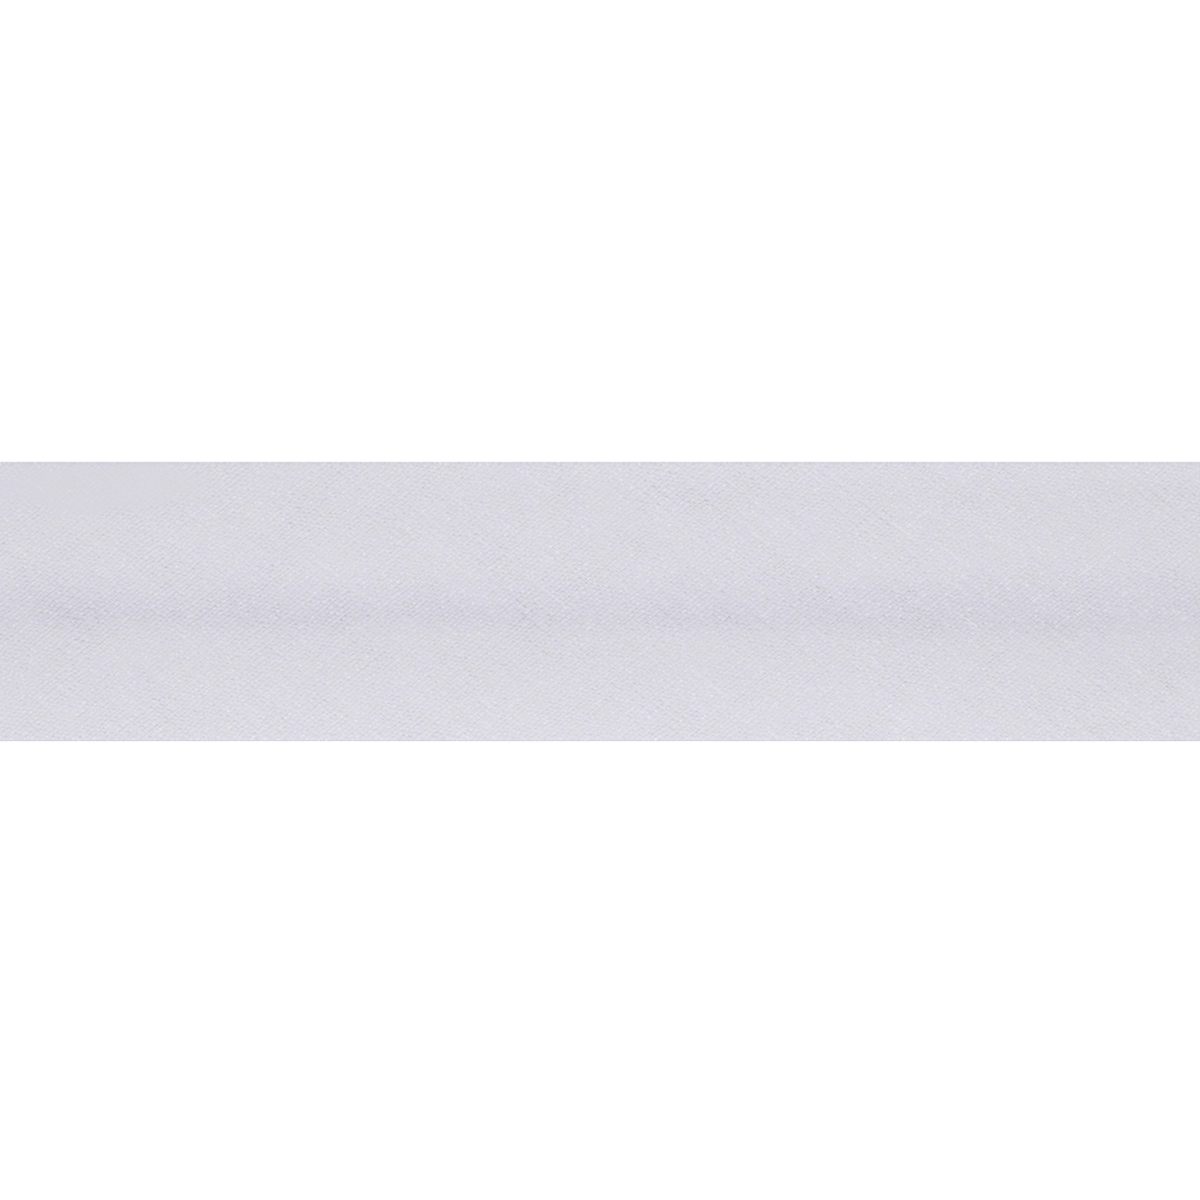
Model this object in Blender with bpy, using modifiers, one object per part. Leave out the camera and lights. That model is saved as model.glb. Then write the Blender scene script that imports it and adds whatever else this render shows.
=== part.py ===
"""A cut length of single-fold bias tape, lying face up with both raw edges turned under.

It is built as the real tape is made: one flat strip whose two long edges are turned under and
pressed, so a front layer, two folds and two flaps are one sheet. The flaps don't meet, and the
front layer sags into the gap between them.

Metres, +Z up, X along the tape. The origin is under the middle of the tape, on the surface that
the flaps lie on.
"""

import math
from collections import namedtuple

import bmesh
import bpy

MM = 0.001

# Driving dimensions
TAPE_LENGTH = 100 * MM
TAPE_WIDTH = 20 * MM
SHEET = 1.0 * MM
LAYER_GAP = 0.3 * MM

# The front layer starts to sag a little before it runs off a raw edge, and slopes down from there,
# more gently from the upper edge than from the lower one
SAG_LEAD = 0.4 * MM
UPPER_SLOPE = 1.9 * MM
LOWER_SLOPE = 1.3 * MM

# Steps of the strip, along the tape and across each of its regions
STEPS_ALONG = 40
STEPS_FLAP = 5
STEPS_FOLD = 6
STEPS_FRONT = 22

# Where the two raw edges run under the front layer, and how deep that layer sags between them,
# in millimetres, at stations along the tape
Station = namedtuple("Station", "x upper_edge lower_edge sag")
STATIONS = (
    Station(-50, 1.05, -2.10, 0.55),
    Station(-38, 0.90, -2.10, 0.60),
    Station(-26, 0.85, -2.30, 0.52),
    Station(-14, 0.85, -2.10, 0.50),
    Station(-2, 0.80, -2.20, 0.46),
    Station(10, 1.30, -2.30, 0.52),
    Station(22, 1.10, -2.60, 0.56),
    Station(34, 1.20, -2.75, 0.46),
    Station(50, 0.80, -2.20, 0.58),
)

# Worked out from the above
FOLD_RADIUS = (SHEET + LAYER_GAP) / 2
FOLD_CENTRE_Y = TAPE_WIDTH / 2 - SHEET / 2 - FOLD_RADIUS
FLAP_HEIGHT = SHEET / 2
FRONT_HEIGHT = FLAP_HEIGHT + 2 * FOLD_RADIUS


def smooth(share):
    """0 to 1 with level ends."""
    share = min(max(share, 0), 1)
    return share * share * (3 - 2 * share)


def mix(start, end, share):
    return start + (end - start) * share


def station_at(x):
    """The raw edges and the sag at x, in metres."""
    for before, after in zip(STATIONS, STATIONS[1:]):
        if x <= after.x * MM:
            break
    share = smooth((x / MM - before.x) / (after.x - before.x))
    return Station(*(mix(a, b, share) * MM for a, b in zip(before, after)))


def sag_at(x, y):
    """How far the front layer lies below the level that the flaps hold it at."""
    here = station_at(x)
    from_upper = (here.upper_edge + SAG_LEAD - y) / UPPER_SLOPE
    from_lower = (y - here.lower_edge + SAG_LEAD) / LOWER_SLOPE
    return here.sag * smooth(from_upper) * smooth(from_lower)


def lower_flap(x, share):
    return mix(station_at(x).lower_edge, -FOLD_CENTRE_Y, share), FLAP_HEIGHT


def lower_fold(x, share):
    turn = math.pi * share
    return (
        -FOLD_CENTRE_Y - FOLD_RADIUS * math.sin(turn),
        FLAP_HEIGHT + FOLD_RADIUS * (1 - math.cos(turn)),
    )


def front(x, share):
    y = mix(-FOLD_CENTRE_Y, FOLD_CENTRE_Y, share)
    return y, FRONT_HEIGHT - sag_at(x, y)


def upper_fold(x, share):
    y, z = lower_fold(x, 1 - share)
    return -y, z


def upper_flap(x, share):
    return mix(FOLD_CENTRE_Y, station_at(x).upper_edge, share), FLAP_HEIGHT


# The strip's regions in order, from one raw edge to the other
REGIONS = (
    (lower_flap, STEPS_FLAP),
    (lower_fold, STEPS_FOLD),
    (front, STEPS_FRONT),
    (upper_fold, STEPS_FOLD),
    (upper_flap, STEPS_FLAP),
)


def place(x, row):
    """Where the strip's point at x lies once folded. row counts steps from the lower raw edge."""
    for region, steps in REGIONS:
        if row <= steps:
            return (x, *region(x, row / steps))
        row -= steps
    raise ValueError("row is past the upper raw edge")


def cloth_material():
    material = bpy.data.materials.new("bleached_cotton")
    material.use_nodes = True
    shader = material.node_tree.nodes["Principled BSDF"]
    shader.inputs["Base Color"].default_value = (0.72, 0.71, 0.77, 1)
    shader.inputs["Roughness"].default_value = 0.9
    shader.inputs["Metallic"].default_value = 0
    return material


def folded_strip():
    """The strip's middle surface: a flat grid, folded point by point."""
    steps_across = sum(steps for _, steps in REGIONS)
    grid = bmesh.new()
    bmesh.ops.create_grid(grid, x_segments=STEPS_ALONG, y_segments=steps_across, size=0.5)
    for vert in grid.verts:
        row = round((vert.co.y + 0.5) * steps_across)
        vert.co = place(vert.co.x * TAPE_LENGTH, row)
    mesh = bpy.data.meshes.new("bias_tape")
    grid.to_mesh(mesh)
    grid.free()
    mesh.shade_smooth()
    return mesh


def bias_tape(collection):
    tape = bpy.data.objects.new("bias_tape", folded_strip())
    tape.data.materials.append(cloth_material())
    cloth = tape.modifiers.new("cloth thickness", "SOLIDIFY")
    cloth.thickness = SHEET
    cloth.offset = 0
    collection.objects.link(tape)


def main():
    for old in list(bpy.data.objects):
        bpy.data.objects.remove(old)
    collection = bpy.data.collections.new("folded bias tape")
    bpy.context.scene.collection.children.link(collection)
    bias_tape(collection)


main()
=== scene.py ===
"""The looks of a cut length of folded bias tape: fine plain-woven cotton in a cool white.

One strip of cloth is laid out flat, in millimetres along and across it, and folded: its two long
edges are turned under, and the front sags a little where the turned edges don't meet. The threads
are worked out on the flat strip, so they run on round the folds and under.
"""

import math
from collections import namedtuple

import bpy
import numpy as np
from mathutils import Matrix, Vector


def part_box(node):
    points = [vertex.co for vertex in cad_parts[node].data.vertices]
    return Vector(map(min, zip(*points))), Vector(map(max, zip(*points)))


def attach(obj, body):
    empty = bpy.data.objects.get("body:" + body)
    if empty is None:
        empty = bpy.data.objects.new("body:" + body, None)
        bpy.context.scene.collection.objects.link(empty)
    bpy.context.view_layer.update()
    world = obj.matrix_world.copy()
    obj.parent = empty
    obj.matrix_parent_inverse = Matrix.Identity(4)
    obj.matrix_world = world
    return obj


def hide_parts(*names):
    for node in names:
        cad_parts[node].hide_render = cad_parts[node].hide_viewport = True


MM = 0.001

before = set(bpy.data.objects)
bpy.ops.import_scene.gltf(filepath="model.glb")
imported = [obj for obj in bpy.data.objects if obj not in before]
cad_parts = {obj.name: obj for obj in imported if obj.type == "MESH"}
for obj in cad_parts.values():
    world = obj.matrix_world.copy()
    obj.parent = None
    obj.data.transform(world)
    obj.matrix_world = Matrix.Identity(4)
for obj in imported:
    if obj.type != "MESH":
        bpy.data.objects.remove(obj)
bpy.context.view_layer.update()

# The tape's own sizes, in millimetres
NODE = "bias_tape"
low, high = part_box(NODE)
LENGTH = round((high[0] - low[0]) / MM, 1)
WIDTH = round((high[1] - low[1]) / MM, 1)
CLOTH = 0.22
LAYER_GAP = 0.03

# The folds: half a turn each, made squarer than a circle by a power under 1
FOLD_RADIUS = (CLOTH + LAYER_GAP) / 2
FOLD_CENTRE = WIDTH / 2 - CLOTH / 2 - FOLD_RADIUS
FOLD_HEIGHT = CLOTH / 2 + FOLD_RADIUS
FOLD_ARC = math.pi * FOLD_RADIUS
FOLD_END = FOLD_CENTRE + FOLD_ARC
PRESSED = 0.65

# The front starts to sag before it runs off a raw edge, and slopes down over some way from there
UPPER_LEAD = 2.0
UPPER_SLOPE = 3.4
LOWER_LEAD = 0.5
LOWER_SLOPE = 2.0

# Where the two raw edges run under the front, and how deep it sags between them
Station = namedtuple("Station", "x upper_edge lower_edge sag")
STATIONS = (
    Station(-50, 1.05, -2.10, 0.033),
    Station(-38, 0.90, -2.10, 0.036),
    Station(-26, 0.85, -2.30, 0.033),
    Station(-14, 0.85, -2.10, 0.030),
    Station(-2, 0.80, -2.20, 0.027),
    Station(10, 1.30, -2.30, 0.030),
    Station(22, 1.10, -2.60, 0.033),
    Station(34, 1.20, -2.75, 0.027),
    Station(50, 0.80, -2.20, 0.036),
)
DEEPEST_SAG = max(station.sag for station in STATIONS)

# How wide the turned-under flaps are, from the ends of the folds to the raw edges
UPPER_FLAP = FOLD_CENTRE - 1.0
LOWER_FLAP = FOLD_CENTRE - 2.3

# Steps of the strip's points, in millimetres where they aren't counted
STEPS_ALONG = 320
STEPS_FOLD = 10
STEP_FRONT = 0.3
STEP_FLAP = 0.35
SHARP_ANGLE = math.radians(50)

# Threads: the fine warp falls to the right of the photo and the thicker weft rises. pitch is from
# one to the next, crimp is how far a thread's middle swings up and down, crown is how much its
# round top stands up, and bow is how fast that falls off to its sides. The ridge over a thread
# differs from one to the next (between) and along each (along).
Yarn = namedtuple("Yarn", "angle pitch crimp crown bow between along seed ridge_seed")
WARP = Yarn(math.radians(-37.7), 0.190, 0.0062, 0.0040, 2.0, 0.010, 0.014, 0.0, 3.0)
WEFT = Yarn(math.radians(38.8), 0.308, 0.0076, 0.0171, 5.0, 0.003, 0.017, 31.0, 9.0)

# Where the warp and the weft meet: how softly one dips under the other, and how far the colour of
# one runs over the other
SOFT_DIP = 0.010
COLOUR_EDGE = 0.004

# How far the threads stray, in threads, and how fast that changes, in swells a millimetre
Stray = namedtuple("Stray", "threads rate")
SWAY = Stray(0.85, 0.25)
WOBBLE = Stray(0.60, 0.90)

# Their spacing also differs: in threads, with so many swells a thread, and a millimetre along
SPACING = 0.35
SPACING_ACROSS = 0.7
SPACING_ALONG = 0.05

# How far apart neighbouring threads lie in the noise, so that they don't look alike
THREAD_JUMP = 5.3

# How fast a thread's thickness changes, in swells a millimetre, and the same for slubs, the long
# thick stretches. A slub sets in at the noise's first value here and is full at the second.
THICKNESS_RATE = 2.2
SLUB_RATE = 0.25
SLUB_NOISE = (0.20, 0.28)

# Places in the noise that keep its uses apart
SLUB_SEED = 17.0
STREAK_SEED = 60.0
GRAIN_SEED = 40.0
WEFT_TONE_SEED = 5.0

# How much a crossing and a slub stand up
CROSSING_HEIGHT = 0.022
SLUB_HEIGHT = 0.010

# The shares of the relief that uneven pressing changes, single cloth gains and the spot loses
CRUSHED_RELIEF = 1.3
SINGLE_RELIEF = 0.22
SPOT_RELIEF = 0.85

# A spot by the upper fold that the iron pressed smooth, and how far its ragged edge reaches
Spot = namedtuple("Spot", "x y half_x half_y outside inside")
SMOOTH_SPOT = Spot(-35.5, 8.2, 8.0, 1.9, 1.4, 0.4)

# Noise over the flat strip: its two axes there, in swells a millimetre
UNEVEN_SAG = ((0.12, 0.10), (0.00, 0.30))
CRUSHED = ((0.25, 0.05), (-0.05, 0.25))
FUZZ = ((4.8, 1.9), (-1.9, 4.8))
PATCHES_OF_SHADE = ((0.3, 0.0), (0.0, 0.3))
WHITENER = ((0.9, 0.3), (-0.3, 0.9))
WHITENER_DETAIL = 2.0
UNEVEN_SAG_SHARE = 0.8

# Long streaks along the warp, in swells a thread and a millimetre
STREAK_ACROSS = 0.85
STREAK_ALONG = 0.12

# A crossing's chance, from -0.5 to 0.5, at which it starts to be pale and is palest
PALE_CHANCE = (0.26, 0.48)

# The next thread's tone, of which this share is taken off so that neighbours differ
NEXT_THREAD = 0.8

# The share of the painted shade between threads that a warp on top hides
HIDDEN_GAP_SHADE = 0.35

# How much each thing changes the brightness of the threads, as a share of it. The single cloth
# over the trough has stronger speckles and deeper painted shade between threads, and the spot
# loses a share of all of them.
Tone = namedtuple("Tone", "warp weft fuzz pale streak single_speckle grain slub single_gap gap")
TONE = Tone(
    warp=0.025, weft=0.005, fuzz=0.12, pale=0.12, streak=0.038,
    single_speckle=0.03, grain=0.076, slub=0.05, single_gap=0.046, gap=0.008,
)
SPOT_TONE = 0.6

# Slower changes of brightness, as shares of it, most of them painted light or painted shade. Each
# sets in at a place along (x) or across (level) the tape and is full at another, in millimetres.
Reach = namedtuple("Reach", "way start full")
Change = namedtuple("Change", "share reaches")
# Painted light: paler by the upper fold, towards the right
UPPER_FOLD_PAINTED_LIGHT = Change(0.026, (Reach("level", 7.4, FOLD_CENTRE), Reach("x", -38, 10)))
# Painted shade: darker towards each end
LEFT_END_PAINTED_SHADE = Change(-0.008, (Reach("x", -26, -42),))
RIGHT_END_PAINTED_SHADE = Change(-0.014, (Reach("x", 22, 38),))
# Painted shade: darker for some way below the trough
BELOW_TROUGH_PAINTED_SHADE = Change(-0.026, (Reach("level", -9.6, -2.6), Reach("level", 0.5, -2.0)))
# Painted light on the upper fold's turn
UPPER_CREASE_PAINTED_LIGHT = Change(0.21, (
    Reach("level", FOLD_CENTRE + 0.035, FOLD_CENTRE + 0.085),
    Reach("level", FOLD_END, FOLD_END - 0.10),
))
# Painted shade on the lower fold's turn, where it meets the floor
LOWER_CREASE_PAINTED_SHADE = Change(-0.33, (
    Reach("level", -FOLD_CENTRE, -FOLD_CENTRE - 0.15),
    Reach("level", -FOLD_END, -FOLD_END + 0.10),
))
SLOW_CHANGES = (UPPER_FOLD_PAINTED_LIGHT, LEFT_END_PAINTED_SHADE, RIGHT_END_PAINTED_SHADE, BELOW_TROUGH_PAINTED_SHADE, UPPER_CREASE_PAINTED_LIGHT, LOWER_CREASE_PAINTED_SHADE)
# How much random patches change the brightness, the painted shade over the single cloth of the
# trough, and how much darker the smooth spot is
PATCHY_SHADE = 0.018
SINGLE_SHADE = 0.026
SPOT_SHADE = 0.016

# The cotton's white, and the lavender it shifts to where it took more whitener or lies in painted
# shade
COTTON_WHITE = (0.6985, 0.6893, 0.747)
LAVENDER = (0.0, -0.016, 0.061)
# Painted shade: the single cloth over the trough is tinted lavender by this share
SINGLE_SHADE_LAVENDER = 0.2

# Light: a soft dome, how white it looks past the floor's end, and a soft box at 45 degrees
DOME = 0.72
DOME_SEEN = 1.05
KEY_AWAY = 0.212
KEY_ANGLE = math.radians(45)
KEY_LONG = 0.06
KEY_HIGH = 0.03
KEY_POWER = 0.384

# The floor: how far it runs, its grey, and the white glow that makes up for the grey
FLOOR_SIDE = 12
FLOOR_GREY = (0.3, 0.3, 0.3, 1)
FLOOR_GLOW = 0.8
WHITE = (1, 1, 1, 1)

# Photo framing
PHOTO_SIDE = 1200
TAPE_WIDTH_PX = 279.9
TAPE_MIDDLE_PX = 601.5
VIEW_SIDE = PHOTO_SIDE * WIDTH / TAPE_WIDTH_PX
LENS = 100
SENSOR = 36


def smooth(share):
    share = np.clip(share, 0, 1)
    return share * share * (3 - 2 * share)


def station_at(x):
    """The raw edges and the sag at x, eased from station to station."""
    table = np.array(STATIONS).T
    after = np.clip(np.searchsorted(table[0], x), 1, len(STATIONS) - 1)
    start, end = table[:, after - 1], table[:, after]
    return Station(*(start + (end - start) * smooth((x - start[0]) / (end[0] - start[0]))))


def sag_at(x, across):
    here = station_at(x)
    from_upper = (here.upper_edge + UPPER_LEAD - across) / UPPER_SLOPE
    from_lower = (across - here.lower_edge + LOWER_LEAD) / LOWER_SLOPE
    return here.sag * smooth(from_upper) * smooth(from_lower)


def pressed(wave):
    """A sine or cosine of a fold's turn, made squarer."""
    return np.sign(wave) * np.abs(wave) ** PRESSED


def cloth_face(x, across, out):
    """The strip's face that lies out from its middle once folded, the right side where out > 0."""
    here = station_at(x)
    upper = across > 0
    past = np.abs(across) - FOLD_CENTRE
    turn = math.pi * np.clip(past / FOLD_ARC, 0, 1)
    flap = np.where(upper, UPPER_FLAP, LOWER_FLAP)
    edge = np.where(upper, here.upper_edge, -here.lower_edge)
    under = np.clip((past - FOLD_ARC) / flap, 0, 1)
    y = np.minimum(np.abs(across), FOLD_CENTRE) + (edge - FOLD_CENTRE) * under
    y = y + (FOLD_RADIUS + out) * pressed(np.abs(np.sin(turn)))
    z = FOLD_HEIGHT + (FOLD_RADIUS + out) * pressed(np.cos(turn)) - sag_at(x, across)
    return np.stack([x, np.where(upper, y, -y), z], -1).reshape(-1, 3)


def steps_between(start, end, step):
    return np.linspace(start, end, round((end - start) / step) + 1)


def rows_across():
    """The places across the flat strip that get a row of points, from raw edge to raw edge."""
    parts = (
        steps_between(-FOLD_END - LOWER_FLAP, -FOLD_END, STEP_FLAP),
        steps_between(-FOLD_END, -FOLD_CENTRE, FOLD_ARC / STEPS_FOLD),
        steps_between(-FOLD_CENTRE, FOLD_CENTRE, STEP_FRONT),
        steps_between(FOLD_CENTRE, FOLD_END, FOLD_ARC / STEPS_FOLD),
        steps_between(FOLD_END, FOLD_END + UPPER_FLAP, STEP_FLAP),
    )
    return np.unique(np.round(np.concatenate(parts), 6))


def quads(a, b, c, d):
    return np.stack([a, b, c, d], -1).reshape(-1, 4)


# The strip's patches on its texture sheet: which face, which stretch of it, which rows of the
# sheet. FAR is past any end of the strip.
FAR = 99
Patch = namedtuple("Patch", "face x_from x_to across_from across_to bottom top")
PATCHES = (
    Patch("right", -FAR, 0, -FOLD_END, FOLD_END, 0.004, 0.400),
    Patch("right", 0, FAR, -FOLD_END, FOLD_END, 0.406, 0.802),
    Patch("right", -FAR, FAR, FOLD_END, FAR, 0.807, 0.879),
    Patch("right", -FAR, FAR, -FAR, -FOLD_END, 0.884, 0.946),
    Patch("wrong", -FAR, FAR, -4, 3, 0.951, 0.973),
    Patch("wrong", -FAR, FAR, 3, FAR, 0.976, 0.983),
    Patch("wrong", -FAR, FAR, -FAR, -4, 0.986, 0.992),
)
RIM_PATCH = (0.995, 0.999)
SHEET_EDGES = (0.004, 0.996)


def spread(values, start, end):
    """values stretched to run from start to end."""
    return start + (end - start) * (values - values.min()) / np.ptp(values)


def lay_on_texture(mesh, x, across, count):
    """The texture sheet's own map. count is the number of faces on each side of the cloth."""
    sheet = np.zeros((len(mesh.polygons), 4, 2))
    first = {"right": 0, "wrong": count}
    for patch in PATCHES:
        faces = slice(first[patch.face], first[patch.face] + count)
        middle_x, middle_across = x[faces].mean(1), across[faces].mean(1)
        held = (middle_x > patch.x_from) & (middle_x < patch.x_to)
        held &= (middle_across > patch.across_from) & (middle_across < patch.across_to)
        numbers = np.flatnonzero(held) + faces.start
        sheet[numbers, :, 0] = spread(x[numbers], *SHEET_EDGES)
        sheet[numbers, :, 1] = spread(across[numbers], patch.bottom, patch.top)
    rim = np.arange(len(mesh.polygons) - 2 * count)[:, None]
    sheet[2 * count:, :, 0] = spread(rim + np.array([1, 0, 0, 1]), *SHEET_EDGES)
    sheet[2 * count:, :, 1] = np.array(RIM_PATCH)[[0, 0, 1, 1]]
    mesh.uv_layers.new(name="OFBake").uv.foreach_set("vector", sheet.ravel())


def cloth_mesh():
    """Both faces of the folded strip, closed round its rim."""
    places = np.linspace(-LENGTH / 2, LENGTH / 2, STEPS_ALONG + 1)
    x, across = np.meshgrid(places, rows_across(), indexing="ij")
    number = np.arange(x.size).reshape(x.shape)
    right = quads(number[:-1, :-1], number[1:, :-1], number[1:, 1:], number[:-1, 1:])
    wrong = right[:, ::-1] + x.size
    loop = np.concatenate([number[:-1, 0], number[-1, :-1], number[:0:-1, -1], number[0, :0:-1]])
    after = np.roll(loop, -1)
    rim = quads(after, loop, loop + x.size, after + x.size)
    faces = np.concatenate([right, wrong, rim])
    points = np.concatenate([cloth_face(x, across, out) for out in (CLOTH / 2, -CLOTH / 2)])
    mesh = bpy.data.meshes.new("folded_cloth")
    mesh.from_pydata((points * MM).tolist(), [], faces.tolist())

    # Each point's place on the flat strip, and how far the front sags there
    flat = np.stack([x, across, sag_at(x, across)], -1).reshape(-1, 3)
    flat = np.concatenate([flat, flat])
    mesh.attributes.new("strip", "FLOAT_VECTOR", "POINT").data.foreach_set("vector", flat.ravel())
    lay_on_texture(mesh, flat[faces, 0], flat[faces, 1], len(right))
    mesh.shade_smooth()
    mesh.set_sharp_from_angle(angle=SHARP_ANGLE)
    return mesh


class Wire:
    """A shader socket in Python arithmetic: an expression adds its Math nodes."""

    def __init__(self, finish, socket):
        self.finish = finish
        self.socket = socket

    def __add__(self, other):
        return self.finish.math("ADD", self, other)

    def __sub__(self, other):
        return self.finish.math("SUBTRACT", self, other)

    def __rsub__(self, other):
        return self.finish.math("SUBTRACT", other, self)

    def __mul__(self, other):
        return self.finish.math("MULTIPLY", self, other)

    __radd__ = __add__
    __rmul__ = __mul__


class Finish:
    """The nodes that make the look of a material, or of the world round the tape."""

    def __init__(self, owner, shader="Principled BSDF"):
        owner.use_nodes = True
        self.tree = owner.node_tree
        self.shader = self.tree.nodes[shader]

    def feed(self, node, values):
        """Values or links go on a node's sockets."""
        for key, value in values.items():
            if isinstance(value, Wire):
                self.tree.links.new(value.socket, node.inputs[key])
            else:
                node.inputs[key].default_value = value

    def node(self, kind, out=0, settings=None, values=None):
        """One output of a node of any kind. settings go on first, then values or links."""
        node = self.tree.nodes.new(kind)
        for name, setting in (settings or {}).items():
            setattr(node, name, setting)
        self.feed(node, values or {})
        return Wire(self, node.outputs[out])

    def math(self, operation, *values):
        return self.node("ShaderNodeMath", 0, {"operation": operation}, dict(enumerate(values)))

    def cosine(self, turns):
        return self.math("COSINE", turns * (2 * math.pi))

    def dot(self, vector, x, y, z=0.0):
        """A vector's part along x, y and z, times their length."""
        settings = {"operation": "DOT_PRODUCT"}
        return self.node("ShaderNodeVectorMath", "Value", settings, {0: vector, 1: (x, y, z)})

    def triple(self, x, y, z=0.0):
        return self.node("ShaderNodeCombineXYZ", 0, None, {"X": x, "Y": y, "Z": z})

    def noise(self, x, y, detail=1.0):
        """Smooth noise about 0, from -0.5 to 0.5, with a swell for each step of 1 in x or y."""
        values = {"Vector": self.triple(x, y), "Scale": 1.0, "Detail": detail}
        return self.node("ShaderNodeTexNoise", 0, {"noise_dimensions": "2D"}, values) - 0.5

    def noise_over(self, strip, axes, detail=1.0):
        """Smooth noise over the flat strip, with two axes in swells a millimetre."""
        first, second = axes
        return self.noise(self.dot(strip, *first), self.dot(strip, *second), detail)

    def chance(self, x, y=0.0):
        """A random number about 0 for each pair of whole numbers, from -0.5 to 0.5."""
        values = {"Vector": self.triple(x, y)}
        return self.node("ShaderNodeTexWhiteNoise", 0, {"noise_dimensions": "2D"}, values) - 0.5

    def ease(self, value, start, full):
        """0 up to start, 1 past full, and a smooth step between. full may be the lower one."""
        settings = {"interpolation_type": "SMOOTHSTEP"}
        values = {"Value": value, "From Min": start, "From Max": full}
        return self.node("ShaderNodeMapRange", 0, settings, values)


# A set of threads at each place: along is the way along them in millimetres, count the way across
# them in threads, number the nearest thread and off the way from its middle. turn is 1 and -1 by
# turns from thread to thread, and beat is 1 on a thread's middle and -1 between threads.
Threads = namedtuple("Threads", "along count number off turn beat")


def lay_threads(cloth, strip, yarn):
    cosine, sine = math.cos(yarn.angle), math.sin(yarn.angle)
    along = cloth.dot(strip, cosine, sine)
    count = cloth.dot(strip, -sine / yarn.pitch, cosine / yarn.pitch)
    sway = cloth.noise(count * (SWAY.rate * yarn.pitch) + yarn.seed, along * SWAY.rate)
    spacing = cloth.noise(count * SPACING_ACROSS + yarn.seed, along * SPACING_ALONG)
    wobble = cloth.noise(count * (WOBBLE.rate * yarn.pitch) - yarn.seed, along * WOBBLE.rate)
    count = count + sway * SWAY.threads + spacing * SPACING + wobble * WOBBLE.threads
    number = cloth.math("ROUND", count)
    turn = cloth.math("COSINE", number * math.pi)
    return Threads(along, count, number, count - number, turn, cloth.cosine(count))


def uneven_ridge(cloth, threads, yarn):
    """A ridge over each thread, of a height that differs between threads and along them."""
    place = threads.number * THREAD_JUMP + yarn.ridge_seed
    stretches = cloth.noise(place, threads.along * THICKNESS_RATE)
    height = cloth.chance(threads.number, yarn.ridge_seed) * yarn.between + stretches * yarn.along
    return (threads.beat + 1.0) * height


def slubs(cloth, threads):
    """The few thick stretches of a set of threads: 1 along their middles, 0 elsewhere."""
    place = threads.number * THREAD_JUMP + SLUB_SEED
    stretch = cloth.noise(place, threads.along * SLUB_RATE)
    return cloth.ease(stretch, *SLUB_NOISE) * (1.0 - threads.off * threads.off * 4.0)


# The weave: its two sets of threads and its height in millimetres. on_warp is 1 where the warp is
# on top, dots is 1 at each crossing's middle, and slub is 1 along the warp's thick stretches.
Weave = namedtuple("Weave", "warp weft height on_warp dots slub")


def plain_weave(cloth, strip):
    """Each warp thread goes over one weft thread and under the next."""
    warp = lay_threads(cloth, strip, WARP)
    weft = lay_threads(cloth, strip, WEFT)
    warp_wave = cloth.math("COSINE", weft.count * math.pi) * warp.turn
    weft_wave = cloth.math("COSINE", warp.count * math.pi) * weft.turn
    warp_height = warp_wave * WARP.crimp + (1.0 - warp.off * warp.off * WARP.bow) * WARP.crown
    weft_height = (1.0 - weft.off * weft.off * WEFT.bow) * WEFT.crown - weft_wave * WEFT.crimp
    height = cloth.math("SMOOTH_MAX", warp_height, weft_height, SOFT_DIP)
    on_warp = cloth.ease(warp_height - weft_height, -COLOUR_EDGE, COLOUR_EDGE)

    # No thread is as thick as the next, nor as itself further on, and no crossing as high
    dots = (warp.beat + 1.0) * (weft.beat + 1.0) * 0.25
    crossing = cloth.chance(warp.number, weft.number) * dots
    slub = slubs(cloth, warp)
    height = height + uneven_ridge(cloth, warp, WARP) + uneven_ridge(cloth, weft, WEFT)
    height = height + crossing * CROSSING_HEIGHT + slub * SLUB_HEIGHT
    return Weave(warp, weft, height, on_warp, dots, slub)


def smooth_spot(cloth, strip, crushed):
    """1 on the spot that was pressed smooth, 0 off it, with a ragged edge."""
    spot = SMOOTH_SPOT
    x = cloth.dot(strip, 1 / spot.half_x, 0) - spot.x / spot.half_x
    y = cloth.dot(strip, 0, 1 / spot.half_y) - spot.y / spot.half_y
    return cloth.ease(x * x + y * y + crushed, spot.outside, spot.inside)


def thread_tone(cloth, strip, weave, single, spot):
    """How bright the threads are: some crossings are paler, and painted shade darkens the spaces
    between threads, more over single cloth.
    """
    warp, weft = weave.warp, weave.weft
    warp_tone = cloth.chance(warp.number) - cloth.chance(warp.number + 1.0) * NEXT_THREAD
    weft_tone = cloth.chance(weft.number, WEFT_TONE_SEED)
    streak = cloth.noise(warp.count * STREAK_ACROSS + STREAK_SEED, warp.along * STREAK_ALONG)
    speckle = cloth.chance(weft.number, warp.number)
    pale = cloth.ease(speckle, *PALE_CHANCE) * weave.dots
    fuzz = cloth.noise_over(strip, FUZZ)
    grain = cloth.chance(weft.number + GRAIN_SEED, warp.number) * (warp.beat + weft.beat)
    # Painted shade between the threads: deepest between wefts, less where a warp runs over
    gap = (1.0 - weft.beat) * (1.0 - warp.beat * HIDDEN_GAP_SHADE) * 0.5
    tone = weave.on_warp * warp_tone * TONE.warp + weft_tone * TONE.weft
    tone = tone + fuzz * TONE.fuzz + pale * TONE.pale + streak * TONE.streak
    tone = tone + speckle * (single * TONE.single_speckle) + grain * TONE.grain
    tone = tone + weave.slub * TONE.slub - gap * (single * TONE.single_gap + TONE.gap)
    return tone * (1.0 - spot * SPOT_TONE) + 1.0


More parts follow.
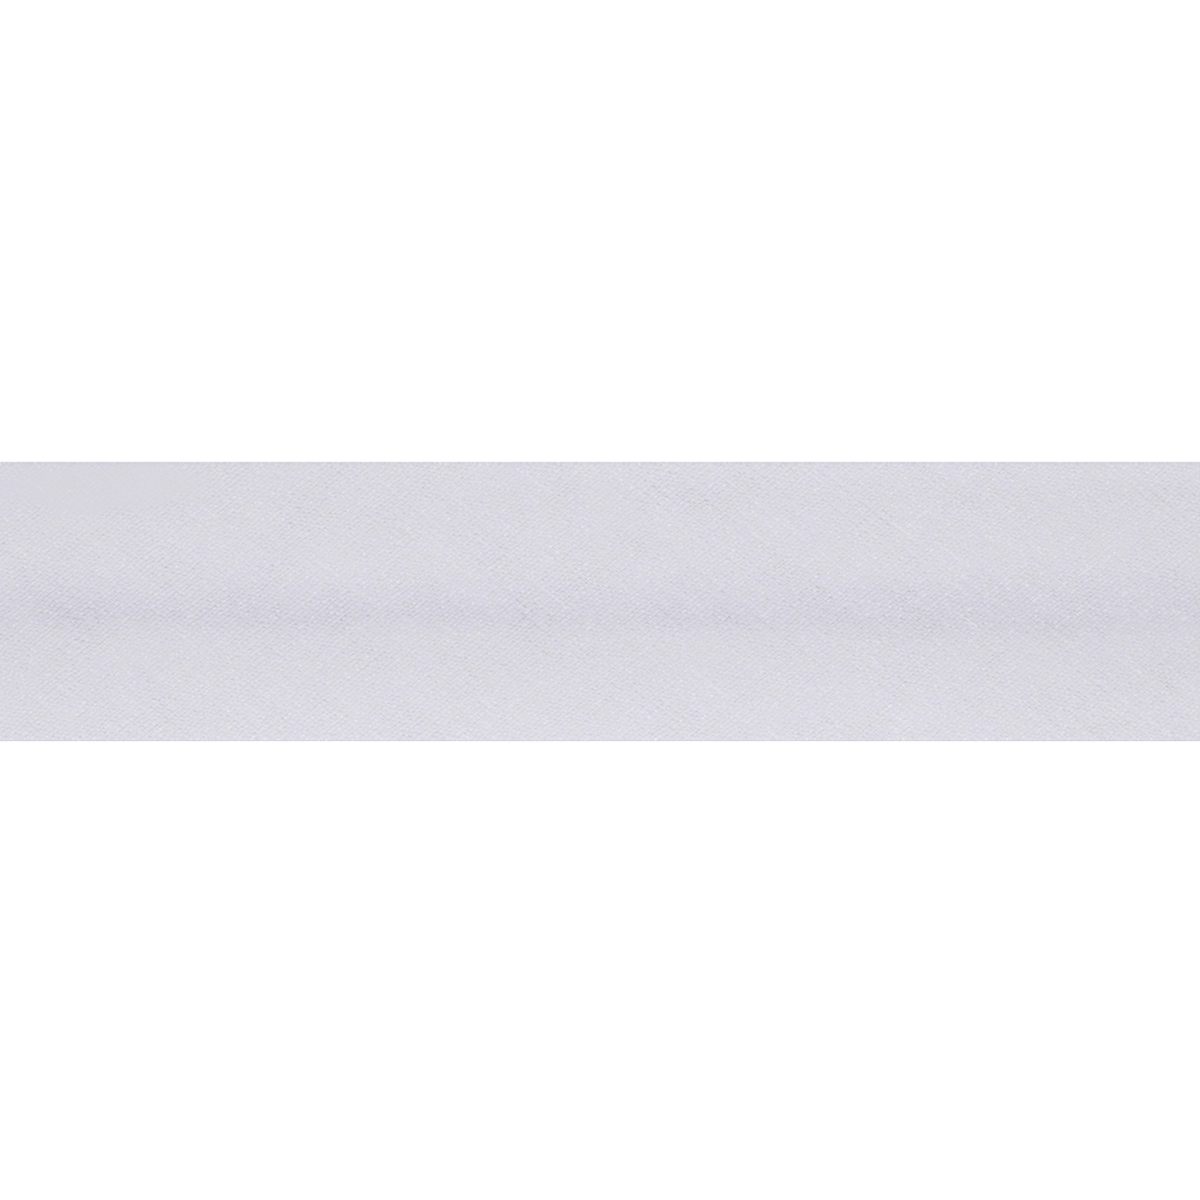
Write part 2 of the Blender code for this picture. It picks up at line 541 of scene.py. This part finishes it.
def slow_shade(cloth, strip, single, spot):
    """How bright the cloth is from place to place, apart from its threads: random patches, painted
    light by and on the upper fold, and painted shade over and below the trough, at the ends and on
    the lower fold.
    """
    ways = {"x": cloth.dot(strip, 1, 0), "level": cloth.dot(strip, 0, 1)}
    shade = cloth.noise_over(strip, PATCHES_OF_SHADE) * PATCHY_SHADE + 1.0
    # Painted shade darkens the single cloth over the trough; the smooth spot is a little darker too
    shade = shade - single * SINGLE_SHADE - spot * SPOT_SHADE
    for change in SLOW_CHANGES:
        amount = change.share
        for reach in change.reaches:
            amount = cloth.ease(ways[reach.way], reach.start, reach.full) * amount
        shade = shade + amount
    return shade


def whitened(cloth, strip, single):
    """The cotton's colour. The whitener takes unevenly, so some spots are more lavender, and the
    single cloth over the trough is painted more lavender as part of its painted shade.
    """
    # The single cloth over the trough gets more lavender as part of its painted shade
    tint = cloth.noise_over(strip, WHITENER, WHITENER_DETAIL) + single * SINGLE_SHADE_LAVENDER
    values = {0: LAVENDER, 1: cloth.triple(tint, tint, tint), 2: COTTON_WHITE}
    return cloth.node("ShaderNodeVectorMath", 0, {"operation": "MULTIPLY_ADD"}, values)


def cotton():
    """Fine plain-woven cotton, matt and bleached."""
    material = bpy.data.materials.new("bleached_cotton")
    cloth = Finish(material)
    strip = cloth.node("ShaderNodeAttribute", "Vector", {"attribute_name": "strip"})
    single = cloth.dot(strip, 0, 0, 1 / DEEPEST_SAG)
    single = single * (1.0 + cloth.noise_over(strip, UNEVEN_SAG) * UNEVEN_SAG_SHARE)
    crushed = cloth.noise_over(strip, CRUSHED)
    spot = smooth_spot(cloth, strip, crushed)
    weave = plain_weave(cloth, strip)

    # Patches are pressed flatter than others, and single cloth was pressed least
    relief = weave.height * (1.0 + crushed * CRUSHED_RELIEF + single * SINGLE_RELIEF)
    relief = relief * (1.0 - spot * SPOT_RELIEF)
    bump = {"Strength": 1.0, "Distance": MM, "Height": relief}

    brightness = thread_tone(cloth, strip, weave, single, spot)
    brightness = brightness * slow_shade(cloth, strip, single, spot)
    colour = {0: whitened(cloth, strip, single), "Scale": brightness}
    cloth.feed(cloth.shader, {
        "Base Color": cloth.node("ShaderNodeVectorMath", 0, {"operation": "SCALE"}, colour),
        "Normal": cloth.node("ShaderNodeBump", 0, None, bump),
        "Roughness": 0.9,
        "Specular IOR Level": 0.0,
    })
    return material


def tape():
    piece = bpy.data.objects.new("folded_tape", cloth_mesh())
    piece.data.materials.append(cotton())
    bpy.context.scene.collection.objects.link(piece)
    flat_width = 2 * FOLD_END + UPPER_FLAP + LOWER_FLAP
    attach(piece, "root")
    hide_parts(NODE)
    flat_width * MM


def floor():
    bpy.ops.mesh.primitive_plane_add(size=FLOOR_SIDE)
    piece = bpy.context.object
    piece.name = "floor"
    material = bpy.data.materials.new("floor_white")
    finish = Finish(material)
    finish.feed(finish.shader, {
        "Base Color": FLOOR_GREY,
        "Roughness": 1.0,
        "Emission Color": WHITE,
        "Emission Strength": FLOOR_GLOW,
    })
    piece.data.materials.append(material)


def soft_dome():
    """An even soft light from all round, that looks as white as the floor past the floor's end."""
    world = bpy.data.worlds.new("soft_dome")
    bpy.context.scene.world = world
    dome = Finish(world, "Background")
    seen = dome.node("ShaderNodeLightPath", "Is Camera Ray")
    strength = {"Value": seen, "To Min": DOME, "To Max": DOME_SEEN}
    strength = dome.node("ShaderNodeMapRange", 0, None, strength)
    dome.feed(dome.shader, {"Color": WHITE, "Strength": strength})


def key_light():
    """A small soft box off the tape's lower edge, low enough to show the threads."""
    light = bpy.data.lights.new("key", "AREA")
    light.shape = "RECTANGLE"
    light.size = KEY_LONG
    light.size_y = KEY_HIGH
    light.energy = KEY_POWER
    lamp = bpy.data.objects.new("key", light)
    lamp.location = (0, -KEY_AWAY, KEY_AWAY)
    lamp.rotation_euler = (KEY_ANGLE, 0, 0)
    lamp.visible_camera = False
    bpy.context.scene.collection.objects.link(lamp)


def camera():
    """Straight above, framed as the photo is: the tape's middle lies a little below the frame's."""
    lens = bpy.data.cameras.new("camera")
    lens.lens = LENS
    lens.sensor_width = SENSOR
    eye = bpy.data.objects.new("camera", lens)
    rise = VIEW_SIDE * LENS / SENSOR + 2 * FOLD_HEIGHT
    shift = (TAPE_MIDDLE_PX - PHOTO_SIDE / 2) * VIEW_SIDE / PHOTO_SIDE
    eye.location = (0, shift * MM, rise * MM)
    bpy.context.scene.collection.objects.link(eye)
    bpy.context.scene.camera = eye


def main():
    tape()
    floor()
    soft_dome()
    key_light()
    camera()
    bpy.context.scene.view_settings.view_transform = "Standard"
    bpy.context.scene.cycles.use_denoising = False


main()
